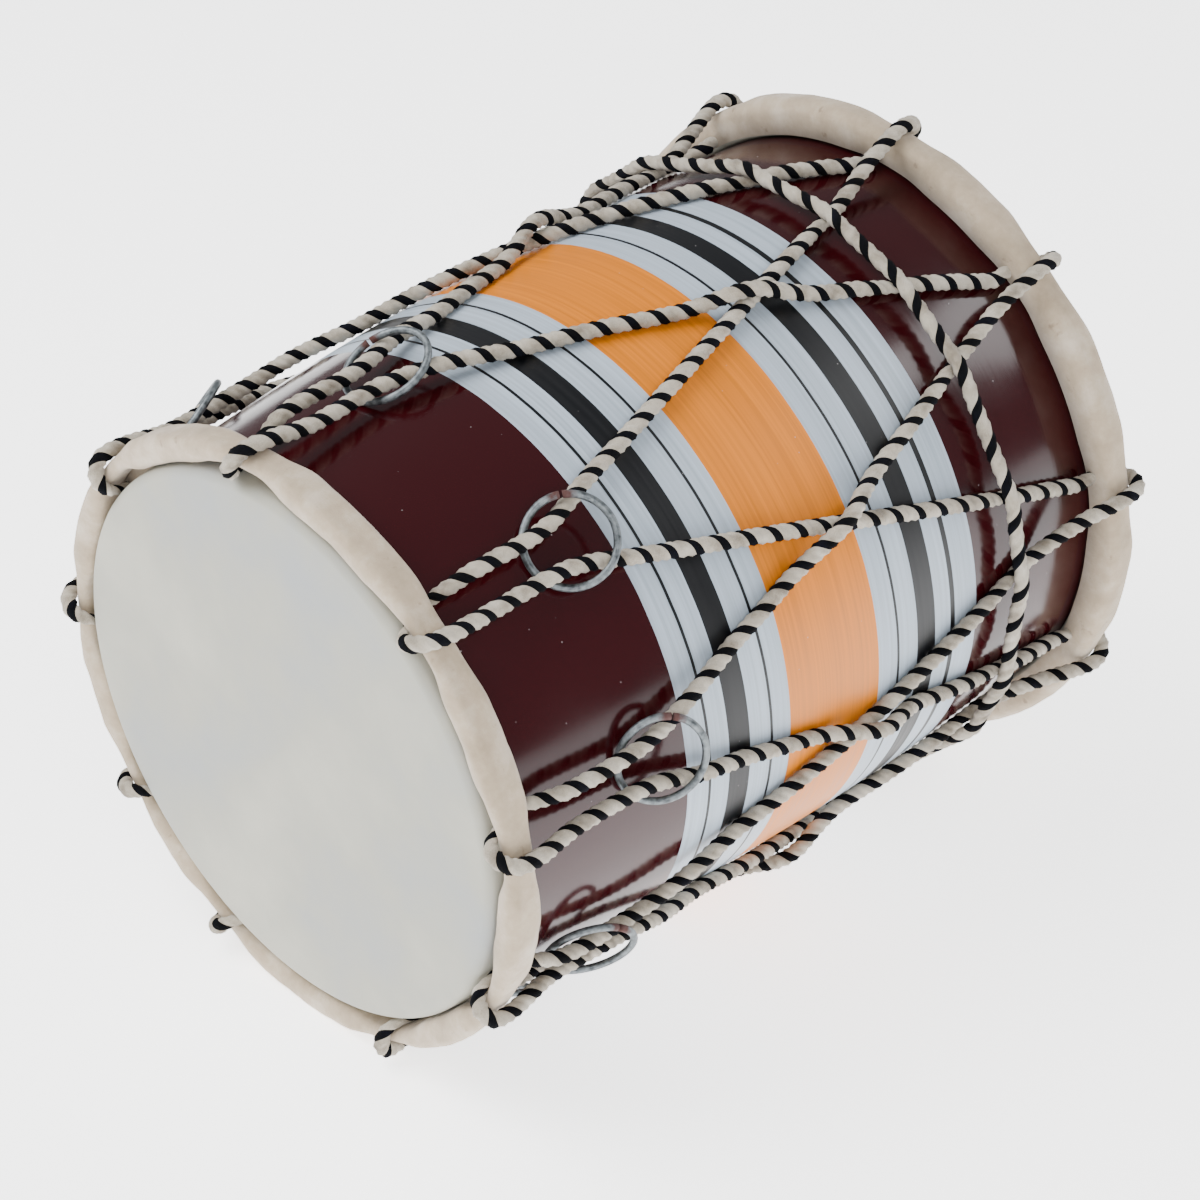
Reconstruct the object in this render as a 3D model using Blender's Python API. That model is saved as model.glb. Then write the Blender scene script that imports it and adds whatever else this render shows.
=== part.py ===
"""A dholak: a two-headed barrel drum laced with one rope, lying on its side.

The drum is modelled along X, treble head at X = 0 and bass head at the far end, under one
empty. The empty then tips and lifts it, so that both hoops stand on the plane Z = 0.
Angles round the drum are in degrees, 0 at the top, growing towards -Y.
All lengths are in metres.
"""

import math

import bmesh
import bpy
from mathutils import Matrix, Vector

# Clearances
GAP = 0.0003
ROPE_GAP = 0.0005

# Shell: one turned hardwood barrel
SHELL_LENGTH = 0.3127
BELLY_RADIUS = 0.1236
BELLY_STATION = 0.2132
TREBLE_RIM_RADIUS = 0.1083
BASS_RIM_RADIUS = 0.1210
WALL = 0.0090
RIM_WALL = 0.0070
RIM_THINNING = 0.045
BEARING_EDGE_RADIUS = 0.0025

# Rows of the barrel's outline: from the treble face, in the middle, and from the bass face
TREBLE_ROWS = (0.034, 0.062)
MIDDLE_ROW = 0.158
BASS_ROWS = (0.0533, 0.0273)
INSIDE_ROW = 0.13

# Painted bands, as stations from the treble face
WHITE_BANDS = (0.0870, 0.2360)
BLACK_BANDS = ((0.1065, 0.1160), (0.2020, 0.2125))
ORANGE_BAND = (0.1355, 0.1815)

# Skins, each folded round its hoop
SKIN = 0.0010
WRAP_SLACK = 0.0028
WRAP_SWELL = 0.0014
FLAT_DEPTH = 0.0005
FOOT_BACK = 0.0006
FOOT_RISE = 0.0012
PINCH_FADE = 5.0
ROPE_HALF_ANGLE = 2.4
FLOOR_CLEARANCE = 0.0002

# Hoops: a stadium section, the straight sides along the drum
HOOP_WIDTH = 0.0092
HOOP_STATION = 0.0070
TREBLE_HOOP_DEPTH = 0.0032
BASS_HOOP_DEPTH = 0.0052

# Tuning paste inside the bass skin
PASTE_RADIUS = 0.0480
PASTE_DEPTH = 0.0045
PASTE_BEVEL = 0.0150
PASTE_SIDES = 32

# Lacing rope
ROPE_RADIUS = 0.0030
TREBLE_NIP_RADIUS = 0.0018
BASS_NIP_RADIUS = 0.0024
WAIST_NIP_RADIUS = 0.0025
TREBLE_LOOPS = (-50, -5, 41.5, 80.5, 118, 156, 203, 234, 272)
BASS_LOOPS = (-35, 7, 40, 79.5, 115, 157, 200, 240, 282)
TREBLE_SPREAD = 3.5
BASS_SPREAD = 1.6

# Rope through a loop: angles round the hoop's section, with the share of the loop's spread there
OVER_TURN = 102
FRONT_ROUTE = ((70, 0.85), (30, 0.6), (-5, 0.3))
ENTRY_TURN = -45
NIP_SPREADS = (0.35, 0.85)
NIP_EXIT = (0.0044, 0.0009)
NIP_EXIT_SWELL = 1.05
HOLE_SIDES = 10
HOLE_REACH = 1.5

# Strands between the hoops
GATHER_START = (0.0048, 0.0022)
GATHER_START_RADIUS = 0.0026
GATHER_ROUTE = ((0.031, 3.5), (0.060, 3.5), (0.072, 4.5), (0.088, 7.0))
GATHER_SLOPE = 0.05
REST_START = 0.112
CROSSING_REACH = 0.026
CROSSING_CLEARANCE = 0.0007
HUMP_SHARES = (-1, -0.55, -0.22, 0.22, 0.55, 1)
STRAND_STEP = 0.030
UNDERSIDE = 0.5
BASS_FOOT = 0.012
BASS_FOOT_RISE = 0.0004
LOW_ROUTE = (0.0353, 0.0190)
HIGH_END = 0.030
HIGH_RISE = 0.0002
STRAND_END = 0.020
ENDS_LOOP = 6

# Waist rope
WAIST_RADIUS = 0.0025
WAIST_STATION = 0.2530
WAIST_FOOT = 0.014
WAIST_START = 258.0

# Tuning rings: split rings of galvanised wire
RING_RADIUS = 0.01625
WIRE_RADIUS = 0.0014
RING_SPLIT = 4.0
RING_SPLIT_AT = 68.0
RING_RISE = 0.0006
RING_ROPE_CLEARANCE = 0.00065
RING_SHELL_CLEARANCE = 0.0004
RING_STATIONS = (0.046, 0.072, 0.070, 0.071, 0.046, 0.048, 0.050, 0.066, 0.060)
RING_NEAREST = 0.045
RING_FURTHEST = 0.072

# Resolution
COLUMNS = 48
WIRE_POINTS = 16
ROPE_RESOLUTION = 1
FLOOR_BLOCK = 0.02

FACE_TO_RIM = SKIN + GAP
TOTAL = SHELL_LENGTH + 2 * FACE_TO_RIM
LOOPS = len(TREBLE_LOOPS)


def shell_radius(x):
    """Outer radius of the shell at a station from the treble face."""
    s = x - FACE_TO_RIM
    if s < BELLY_STATION:
        share = (BELLY_STATION - s) / BELLY_STATION
        return BELLY_RADIUS - (BELLY_RADIUS - TREBLE_RIM_RADIUS) * share**2
    share = (s - BELLY_STATION) / (SHELL_LENGTH - BELLY_STATION)
    return BELLY_RADIUS - (BELLY_RADIUS - BASS_RIM_RADIUS) * share**2


def place(x, radius, angle):
    """A point of the drum from its station, radius and angle in degrees."""
    turn = math.radians(angle)
    return Vector((x, -radius * math.sin(turn), radius * math.cos(turn)))


class Head:
    """Sizes of one end of the drum. u runs from the face towards the middle."""

    def __init__(self, bass):
        self.bass = bass
        self.depth = BASS_HOOP_DEPTH if bass else TREBLE_HOOP_DEPTH
        self.nip = BASS_NIP_RADIUS if bass else TREBLE_NIP_RADIUS
        self.loops = BASS_LOOPS if bass else TREBLE_LOOPS
        self.spread = BASS_SPREAD if bass else TREBLE_SPREAD
        self.bend = self.depth / 2 + GAP + SKIN / 2
        self.half_flat = (HOOP_WIDTH - self.depth) / 2
        widest_u = HOOP_STATION + self.half_flat
        self.collar_top = self.shell(widest_u) + GAP + SKIN
        self.nip_line = self.collar_top + GAP + self.nip
        self.wrap_inside = self.nip_line + self.nip + ROPE_GAP
        self.hoop_line = self.wrap_inside + SKIN + GAP + self.depth / 2
        self.outside = self.hoop_line + self.bend + SKIN / 2

    def station(self, u):
        return TOTAL - u if self.bass else u

    def shell(self, u):
        return shell_radius(self.station(u))

    def around(self, angle, clearance):
        """Point (u, r) round the hoop's section: 0 at the front, 90 outside, 180 at the back."""
        turn = math.radians(angle)
        reach = self.bend + clearance
        middle = HOOP_STATION + self.half_flat * (-1 if abs(angle) < 90 else 1)
        return middle - reach * math.cos(turn), self.hoop_line + reach * math.sin(turn)

    def floor_radius(self):
        """From the axis to the floor at this hoop, its wrap pressed flat."""
        return (self.outside + WRAP_SWELL) * math.cos(math.pi / COLUMNS) - FLAT_DEPTH


TREBLE = Head(False)
BASS = Head(True)
TILT = math.atan((BASS.floor_radius() - TREBLE.floor_radius()) / (TOTAL - 2 * HOOP_STATION))
LIFT = TREBLE.floor_radius() * math.cos(TILT) - HOOP_STATION * math.sin(TILT)
RING_REACH = math.sqrt(RING_RADIUS**2 - (BELLY_RADIUS * math.radians(GATHER_ROUTE[0][1])) ** 2)
RING_LEAN = math.atan(GATHER_SLOPE) + math.asin(
    (ROPE_RADIUS + WIRE_RADIUS + RING_RISE + RING_ROPE_CLEARANCE) / RING_REACH
)


def new_material(name, colour, roughness, metallic=0.0):
    material = bpy.data.materials.new(name)
    material.use_nodes = True
    shader = material.node_tree.nodes["Principled BSDF"]
    shader.inputs["Base Color"].default_value = (*colour, 1.0)
    shader.inputs["Roughness"].default_value = roughness
    shader.inputs["Metallic"].default_value = metallic
    material.diffuse_color = (*colour, 1.0)
    return material


def new_object(name, data, parent, *materials):
    obj = bpy.data.objects.new(name, data)
    bpy.context.scene.collection.objects.link(obj)
    obj.parent = parent
    for material in materials:
        data.materials.append(material)
    return obj


def mesh_from(name, bm):
    bmesh.ops.recalc_face_normals(bm, faces=bm.faces)
    mesh = bpy.data.meshes.new(name)
    bm.to_mesh(mesh)
    bm.free()
    mesh.shade_smooth()
    mesh.set_sharp_from_angle(angle=math.radians(40))
    return mesh


def spin_profile(profile, columns):
    """Closed ring or body turned from a closed outline of (station, radius)."""
    bm = bmesh.new()
    ends = [bm.verts.new(place(x, radius, 180 / columns)) for x, radius in profile]
    edges = [bm.edges.new((a, b)) for a, b in zip(ends, ends[1:] + ends[:1])]
    bmesh.ops.spin(
        bm,
        geom=ends + edges,
        axis=(1, 0, 0),
        cent=(0, 0, 0),
        angle=math.tau,
        steps=columns,
        use_merge=True,
    )
    bmesh.ops.remove_doubles(bm, verts=bm.verts, dist=1e-6)
    return bm


def rim_arc(x, turns, sign):
    """Bearing edge of one rim, from the station where the outline's curve ends."""
    points = []
    for turn in turns:
        lean = math.radians(turn)
        across = BEARING_EDGE_RADIUS * (math.cos(lean) - 1)
        points.append((x + sign * BEARING_EDGE_RADIUS * math.sin(lean), shell_radius(x) + across))
    return points


def make_shell(parent, paints):
    """Barrel wall, with its rims rounded into bearing edges and its painted bands."""
    edge = BEARING_EDGE_RADIUS
    rows = [FACE_TO_RIM + edge, *TREBLE_ROWS, MIDDLE_ROW]
    rows += [*WHITE_BANDS, *BLACK_BANDS[0], *BLACK_BANDS[1], *ORANGE_BAND]
    rows += [TOTAL - u for u in BASS_ROWS]
    rows.append(TOTAL - FACE_TO_RIM - edge)
    rows.sort()
    outline = rim_arc(rows[0], (90, 45), -1)
    outline += [(x, shell_radius(x)) for x in rows]
    outline += rim_arc(rows[-1], (45, 90), 1)
    last_rim = TOTAL - FACE_TO_RIM
    inside = (last_rim, last_rim - RIM_THINNING, BELLY_STATION)
    for x in (*inside, INSIDE_ROW, FACE_TO_RIM + RIM_THINNING, FACE_TO_RIM):
        wall = RIM_WALL if x in (FACE_TO_RIM, last_rim) else WALL
        outline.append((x, shell_radius(x) - wall))
    bm = spin_profile(outline, COLUMNS)
    mesh = mesh_from("shell", bm)
    bands = ((WHITE_BANDS, 1), (BLACK_BANDS[0], 2), (BLACK_BANDS[1], 2), (ORANGE_BAND, 3))
    for face in mesh.polygons:
        radius = math.hypot(face.center.y, face.center.z)
        if radius < shell_radius(face.center.x) - WALL / 2:
            continue
        for (start, end), slot in bands:
            if start < face.center.x < end:
                face.material_index = slot
    return new_object("shell", mesh, parent, *paints)


def looseness(angle, ropes, half_width):
    """How loose the wrap is at an angle: 0 where a rope pinches it, 1 well clear of the ropes."""
    apart = min(abs((angle - rope + 180) % 360 - 180) for rope in ropes)
    share = min(max((apart - half_width - 360 / COLUMNS) / PINCH_FADE, 0.0), 1.0)
    return share * share * (3 - 2 * share)


def skin_middle(head, angle):
    """Middle line of the skin's thickness, as (u, r), from the face's edge to the tucked end."""
    overs = [loop + head.spread for loop in head.loops]
    swell = WRAP_SWELL * looseness(angle, overs, ROPE_HALF_ANGLE)
    slack = WRAP_SLACK * looseness(angle, head.loops, head.spread + ROPE_HALF_ANGLE)
    edge = BEARING_EDGE_RADIUS
    seat_u = FACE_TO_RIM + edge
    seat_r = head.shell(seat_u) - edge
    bend = edge + GAP + SKIN / 2
    points = []
    for turn in (0, 45, 90):
        lean = math.radians(turn)
        points.append((seat_u - bend * math.cos(lean), seat_r + bend * math.sin(lean)))
    collar_u = HOOP_STATION + head.half_flat
    points.append((collar_u, head.shell(collar_u) + GAP + SKIN / 2))
    back_u = head.around(180, swell)[0]
    points.append((back_u - FOOT_BACK, head.collar_top + FOOT_RISE))
    for turn in (180, 135, 90, 89, 45, 0, -45, -89):
        u, r = head.around(turn, swell)
        sag = slack * math.sin(math.radians(-turn)) if turn < 0 else 0.0
        points.append((u, r - sag))
    return points


def thicken(points, thickness):
    """Both sides of an open line, joined into one closed outline."""
    line = [Vector(p) for p in points]
    sides = ([], [])
    for i, here in enumerate(line):
        before = (here - line[i - 1]).normalized() if i else None
        after = (line[i + 1] - here).normalized() if i + 1 < len(line) else None
        along = ((before or after) + (after or before)).normalized()
        across = Vector((-along.y, along.x))
        reach = thickness / 2
        if before and after:
            reach /= max(across.dot(Vector((-before.y, before.x))), 0.7)
        sides[0].append(here + across * reach)
        sides[1].append(here - across * reach)
    return sides[0] + sides[1][::-1]


def column_angles():
    """Angles of the columns that every turned piece shares, an edge of each facing the floor."""
    return [360 * (k + 0.5) / COLUMNS for k in range(COLUMNS)]


def make_skin(name, head, parent, material, floor_cutter):
    """Skin over the head, down the shell, through the back of its hoop, round it and tucked in."""
    bm = bmesh.new()
    rings = []
    for angle in column_angles():
        outline = thicken(skin_middle(head, angle), SKIN)
        rings.append([bm.verts.new(place(head.station(u), r, angle)) for u, r in outline])
    for here, following in zip(rings, rings[1:] + rings[:1]):
        for k in range(len(here) - 1):
            bm.faces.new((here[k], here[k + 1], following[k + 1], following[k]))
    bm.faces.new([ring[0] for ring in rings])
    bm.faces.new([ring[-1] for ring in rings])
    skin = new_object(name, mesh_from(name, bm), parent, material)
    holes = rope_hole_cutter(name + "_holes", head, parent)
    for cutter in (holes, floor_cutter):
        cut = skin.modifiers.new(cutter.name, "BOOLEAN")
        cut.operation = "DIFFERENCE"
        cut.object = cutter
        cut.solver = "EXACT"
    return skin


def rope_hole_cutter(name, head, parent):
    """Nine short pegs along the rope, where it comes through the skin behind the hoop."""
    bm = bmesh.new()
    for angle in head.loops:
        start, end = nip_points(head, angle)[-2:]
        start_point = place(head.station(start[0]), *start[1:3])
        end_point = place(head.station(end[0]), *end[1:3])
        along = end_point - start_point
        turn = along.to_track_quat("Z", "Y").to_matrix().to_4x4()
        bmesh.ops.create_cone(
            bm,
            cap_ends=True,
            segments=HOLE_SIDES,
            radius1=head.nip + 2 * GAP,
            radius2=head.nip + 2 * GAP,
            depth=along.length * HOLE_REACH,
            matrix=Matrix.Translation((start_point + end_point) / 2) @ turn,
        )
    cutter = new_object(name, mesh_from(name, bm), parent)
    hide(cutter)
    return cutter


def hide(cutter):
    cutter.hide_render = True
    cutter.display_type = "WIRE"


def make_hoop(name, head, parent, material):
    """Split-cane hoop with half-round edges."""
    outline = []
    half = head.depth / 2
    for side in (-1, 1):
        for turn in (-90, 0, 90):
            lean = math.radians(turn)
            u = HOOP_STATION + side * (head.half_flat + half * math.cos(lean))
            outline.append((head.station(u), head.hoop_line + side * half * math.sin(lean)))
    return new_object(name, mesh_from(name, spin_profile(outline, COLUMNS)), parent, material)


def make_paste(parent, material):
    """Round cake of tuning paste on the inner side of the bass skin, its edge feathered out."""
    bm = bmesh.new()
    bmesh.ops.create_cone(
        bm,
        cap_ends=True,
        segments=PASTE_SIDES,
        radius1=PASTE_RADIUS,
        radius2=PASTE_RADIUS - PASTE_BEVEL,
        depth=PASTE_DEPTH,
        matrix=Matrix.Rotation(math.radians(-90), 4, "Y"),
    )
    bmesh.ops.translate(bm, verts=bm.verts, vec=(TOTAL - SKIN - GAP - PASTE_DEPTH / 2, 0, 0))
    shoulder = [edge for edge in bm.edges if all(v.co.x < TOTAL - SKIN - PASTE_DEPTH for v in edge.verts)]
    bmesh.ops.bevel(
        bm,
        geom=shoulder,
        affect="EDGES",
        offset=PASTE_BEVEL / 3,
        segments=2,
        profile=0.5,
        material=-1,
    )
    return new_object("bass_tuning_paste", mesh_from("bass_tuning_paste", bm), parent, material)


def nip_points(head, angle):
    """Rope through one loop, from over the hoop to where it comes out behind it: (u, r, angle, radius)."""
    clear = SKIN / 2 + ROPE_GAP + ROPE_RADIUS
    spread = head.spread
    front_u = HOOP_STATION - head.half_flat
    back_u = HOOP_STATION + head.half_flat
    points = [(*head.around(OVER_TURN, clear), angle + spread, ROPE_RADIUS)]
    for turn, share in FRONT_ROUTE:
        points.append((*head.around(turn, clear), angle + spread * share, ROPE_RADIUS))
    middle = (ROPE_RADIUS + head.nip) / 2
    points.append((*head.around(ENTRY_TURN, SKIN / 2 + ROPE_GAP + middle), angle, middle))
    for u, share in zip((front_u, back_u), NIP_SPREADS):
        points.append((u, head.nip_line, angle - spread * share, head.nip))
    exit_radius = head.nip * NIP_EXIT_SWELL
    points.append((back_u + NIP_EXIT[0], head.nip_line + NIP_EXIT[1], angle - spread, exit_radius))
    return points


def gather_radius(x):
    """Height of the gathered strands, set so that a ring at its furthest clears the shell."""
    wire = shell_radius(RING_FURTHEST - RING_RADIUS * math.cos(RING_LEAN)) + WIRE_RADIUS
    middle = wire + RING_SHELL_CLEARANCE + RING_RADIUS * math.sin(RING_LEAN) - RING_RISE
    return middle - GATHER_SLOPE * (RING_FURTHEST - x)


def squeezed(x, angle, ropes):
    """Rope radius where that many ropes lie on one another, thinner between barrel and floor."""
    down = -math.cos(math.radians(angle)) * math.cos(TILT)
    if down < UNDERSIDE:
        return ROPE_RADIUS
    room = (LIFT + x * math.sin(TILT) - FLOOR_CLEARANCE) / down - shell_radius(x)
    return min(ROPE_RADIUS, (room - GAP - (ropes - 1) * CROSSING_CLEARANCE) / (2 * ropes))


def fill_between(marks, most):
    """The marks in order, with points added so that no step is longer than most."""
    marks = sorted(marks)
    filled = marks[:1]
    for here, following in zip(marks, marks[1:]):
        steps = math.ceil((following - here) / most)
        filled += [here + (following - here) * k / steps for k in range(1, steps + 1)]
    return filled


def strand_ends(treble_loop, side):
    """Angles where a strand leaves the gathered part at the treble end and meets the bass hoop."""
    bass_loop = treble_loop + side
    start = TREBLE_LOOPS[treble_loop % LOOPS] + side * GATHER_ROUTE[-1][1]
    start += 360 * (treble_loop // LOOPS)
    end = BASS_LOOPS[bass_loop % LOOPS] - side * BASS_SPREAD + 360 * (bass_loop // LOOPS)
    return start, end


def strand_angle(treble_loop, side, x):
    """Angle of a strand at a station past the gathered part."""
    start, end = strand_ends(treble_loop, side)
    share = (x - GATHER_ROUTE[-1][0]) / (TOTAL - STRAND_END - GATHER_ROUTE[-1][0])
    return start + (end - start) * share


def crossing_station(treble_loop, side):
    """Station where a strand crosses its partner from the neighbouring loop."""
    partner = treble_loop + side
    low, high = GATHER_ROUTE[-1][0], TOTAL - STRAND_END
    for _ in range(40):
        middle = (low + high) / 2
        apart = side * (strand_angle(partner, -side, middle) - strand_angle(treble_loop, side, middle))
        low, high = (middle, high) if apart > 0 else (low, middle)
    return low


def resting_points(treble_loop, side):
    """The part of a strand that lies on the barrel, with its hump at the crossing."""
    crossing = crossing_station(treble_loop, side)
    thin = squeezed(crossing, strand_angle(treble_loop, side, crossing), 2)
    marks = [REST_START, crossing, WAIST_STATION - WAIST_FOOT]
    if lies_on_top(treble_loop, side):
        marks += [crossing + CROSSING_REACH * share for share in HUMP_SHARES]
    points = []
    for x in fill_between(marks, STRAND_STEP):
        angle = strand_angle(treble_loop, side, x)
        lean = min(abs(x - crossing) / CROSSING_REACH, 1.0) * math.pi / 2
        share = math.cos(lean) ** 2
        radius = squeezed(x, angle, 1) * (1 - share) + thin * share
        lift = (2 * thin + CROSSING_CLEARANCE) * share if lies_on_top(treble_loop, side) else 0.0
        points.append((x, shell_radius(x) + GAP + radius + lift, angle, radius))
    return points


def strand_points(treble_loop, side):
    """One strand from the treble hoop to the bass hoop, as (station, r, angle, radius)."""
    points = []
    base = TREBLE_LOOPS[treble_loop % LOOPS] + 360 * (treble_loop // LOOPS)
    if side < 0:
        u, r = nip_points(TREBLE, 0)[-1][:2]
        start = (u + GATHER_START[0], r + GATHER_START[1])
        points.append((*start, base - TREBLE_SPREAD, GATHER_START_RADIUS))
    for x, spread in GATHER_ROUTE:
        points.append((x, gather_radius(x), base + side * spread, ROPE_RADIUS))
    points += resting_points(treble_loop, side)
    foot_x = WAIST_STATION + BASS_FOOT
    foot = shell_radius(foot_x) + ROPE_RADIUS + GAP
    waist = shell_radius(WAIST_STATION) + WAIST_NIP_RADIUS + GAP
    rest = [(WAIST_STATION, waist, WAIST_NIP_RADIUS), (foot_x, foot + BASS_FOOT_RISE, ROPE_RADIUS)]
    if side > 0:
        for x in (TOTAL - u for u in LOW_ROUTE):
            rest.append((x, shell_radius(x) + ROPE_RADIUS + GAP, ROPE_RADIUS))
    else:
        x = TOTAL - HIGH_END
        over = nip_points(BASS, 0)[0][1]
        share = (x - foot_x) / (TOTAL - HOOP_STATION - BASS.half_flat - foot_x)
        rest.append((x, foot + (over - foot) * share + HIGH_RISE, ROPE_RADIUS))
    points += [(x, r, strand_angle(treble_loop, side, x), radius) for x, r, radius in rest]
    return points


def lies_on_top(loop, side):
    """The strands of the rope's second round lie over those of its first."""
    index = loop % LOOPS
    return index % 2 == 1 or (side < 0 and index == 0)


def lacing_route():
    """The whole rope: bass loop, treble loop and so on, twice round, its ends under the bass hoop."""
    start = nip_points(BASS, BASS_LOOPS[ENDS_LOOP])
    route = [(BASS.station(u), r, angle, radius) for u, r, angle, radius in start[5::-1]]
    for loop in range(ENDS_LOOP + 1, ENDS_LOOP + 2 * LOOPS, 2):
        route += strand_points(loop, -1)[::-1]
        route += nip_points(TREBLE, TREBLE_LOOPS[loop % LOOPS] + 360 * (loop // LOOPS))[::-1]
        route += strand_points(loop, 1)
        following = loop + 1
        through = nip_points(BASS, BASS_LOOPS[following % LOOPS] + 360 * (following // LOOPS))[::-1]
        if following == ENDS_LOOP + 2 * LOOPS:
            through = through[:2]
        route += [(BASS.station(u), r, angle, radius) for u, r, angle, radius in through]
    return route


def new_tube(name, points, radius, parent, material):
    """Rope along (position, radius) points, as a round-section curve with closed ends."""
    curve = bpy.data.curves.new(name, "CURVE")
    curve.dimensions = "3D"
    curve.bevel_depth = radius
    curve.bevel_resolution = ROPE_RESOLUTION
    curve.use_fill_caps = True
    spline = curve.splines.new("POLY")
    spline.points.add(len(points) - 1)
    for point, (position, thickness) in zip(spline.points, points):
        point.co = (*position, 1)
        point.radius = thickness / radius
    spline.use_smooth = True
    return new_object(name, curve, parent, material)


def make_lacing(parent, material):
    route = lacing_route()
    points = [(place(x, r, angle), radius) for x, r, angle, radius in route]
    return new_tube("lacing_rope", points, ROPE_RADIUS, parent, material)


def waist_route():
    """Waist rope: over every strand, straight between them, its ends side by side at the back."""
    height = shell_radius(WAIST_STATION) + GAP + 2 * WAIST_NIP_RADIUS + GAP + WAIST_RADIUS
    crossings = []
    for loop in range(LOOPS):
        for side in (-1, 1):
            crossings.append(strand_angle(loop, side, WAIST_STATION) % 360)
    crossings.sort()
    angles = [a for a in crossings if a > WAIST_START] + [a + 360 for a in crossings if a < WAIST_START]
    route = []
    for here, following in zip(angles, angles[1:]):
        half = (following - here) / 2
        route.append((height + GAP, here))
        for share in (1 / 3, 2 / 3):
            lean = math.radians(half * (2 * share - 1))
            chord = height * math.cos(math.radians(half)) / math.cos(lean)
            route.append((chord + GAP, here + 2 * half * share))
    route.append((height + GAP, angles[-1]))
    return route


def make_waist_rope(parent, material):
    route = waist_route()
    points = [(place(WAIST_STATION, r, angle), WAIST_RADIUS) for r, angle in route]
    return new_tube("waist_rope", points, WAIST_RADIUS, parent, material)


def make_ring(index, parent, material):
    """Split wire ring round the two strands of one treble loop, near side under them."""
    angle = TREBLE_LOOPS[index]
    station = RING_STATIONS[index]
    points = []
    first = RING_SPLIT_AT + RING_SPLIT / 2
    for k in range(WIRE_POINTS + 1):
        turn = math.radians(first + (360 - RING_SPLIT) * k / WIRE_POINTS)
        points.append((Vector((RING_RADIUS * math.cos(turn), RING_RADIUS * math.sin(turn), 0)), WIRE_RADIUS))
    ring = new_tube(f"tuning_ring_{index + 1}", points, WIRE_RADIUS, parent, material)
    centre = place(station, gather_radius(station) + RING_RISE, angle)
    turn = Matrix.Rotation(math.radians(angle), 4, "X")
    tilt = Matrix.Rotation(-RING_LEAN, 4, "Y")
    ring.matrix_local = Matrix.Translation(centre) @ turn @ tilt
    return ring


def centre_on_origin(parent):
    """Slides the drum over the floor until its box is centred on the origin."""
    graph = bpy.context.evaluated_depsgraph_get()
    corners = []
    for piece in parent.children:
        if piece.hide_render:
            continue
        evaluated = piece.evaluated_get(graph)
        corners += [evaluated.matrix_world @ vertex.co for vertex in evaluated.to_mesh().vertices]
        evaluated.to_mesh_clear()
    for axis in (0, 1):
        values = [corner[axis] for corner in corners]
        parent.location[axis] -= (min(values) + max(values)) / 2


def make_floor_cutter():
    """Block below the floor: it presses the flats that the drum rests on."""
    bm = bmesh.new()
    bmesh.ops.create_cube(bm, size=1.0)
    bmesh.ops.scale(bm, verts=bm.verts, vec=(2 * TOTAL, TOTAL, FLOOR_BLOCK))
    bmesh.ops.translate(bm, verts=bm.verts, vec=(0, 0, -FLOOR_BLOCK / 2))
    cutter = new_object("floor_cutter", mesh_from("floor_cutter", bm), None)
    hide(cutter)
    return cutter


def main():
    for obj in list(bpy.data.objects):
        bpy.data.objects.remove(obj)
    drum = bpy.data.objects.new("drum_axis", None)
    bpy.context.scene.collection.objects.link(drum)
    drum.rotation_euler = (0, -TILT, 0)
    drum.location = (-TOTAL / 2, 0, LIFT)
    bpy.context.view_layer.update()
    floor_cutter = make_floor_cutter()
    lacquer = new_material("maroon_lacquer", (0.035, 0.007, 0.010), 0.12)
    paints = (
        new_material("white_paint", (0.48, 0.54, 0.58), 0.35),
        new_material("black_paint", (0.010, 0.011, 0.015), 0.3),
        new_material("orange_paint", (0.62, 0.22, 0.02), 0.35),
    )
    goatskin = new_material("goatskin", (0.50, 0.50, 0.46), 0.7)
    cane = new_material("split_cane", (0.45, 0.30, 0.15), 0.6)
    rope = new_material("cotton_rope", (0.55, 0.50, 0.43), 0.9)
    waist = new_material("cotton_cross_rope", (0.55, 0.50, 0.43), 0.9)
    wire = new_material("galvanised_wire", (0.35, 0.37, 0.38), 0.4, 1.0)
    paste = new_material("tuning_paste", (0.03, 0.025, 0.02), 0.8)
    make_shell(drum, (lacquer, *paints))
    make_hoop("treble_hoop", TREBLE, drum, cane)
    make_hoop("bass_hoop", BASS, drum, cane)
    make_skin("treble_skin", TREBLE, drum, goatskin, floor_cutter)
    make_skin("bass_skin", BASS, drum, goatskin, floor_cutter)
    make_paste(drum, paste)
    make_lacing(drum, rope)
    make_waist_rope(drum, waist)
    for index in range(LOOPS):
        make_ring(index, drum, wire)
    bpy.context.view_layer.update()
    centre_on_origin(drum)


main()
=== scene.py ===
"""Looks of the dholak: finishes, laid rope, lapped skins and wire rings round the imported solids."""

import math

import bmesh
import bpy
from mathutils import Matrix, Vector, noise


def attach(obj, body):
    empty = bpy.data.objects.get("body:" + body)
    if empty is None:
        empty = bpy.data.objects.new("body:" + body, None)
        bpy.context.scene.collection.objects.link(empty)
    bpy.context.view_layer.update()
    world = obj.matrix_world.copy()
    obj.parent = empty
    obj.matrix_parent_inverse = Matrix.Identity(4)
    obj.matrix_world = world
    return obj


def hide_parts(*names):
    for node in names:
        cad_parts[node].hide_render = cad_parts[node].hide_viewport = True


bl_info = {
    "name": "Dholak looks",
    "version": (1, 0, 0),
    "blender": (4, 5, 0),
    "location": "View3D > Sidebar > Dholak",
    "description": "Dresses the packed dholak with its skins, laid rope, wire rings and painted lacquer",
    "category": "Object",
}

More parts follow.
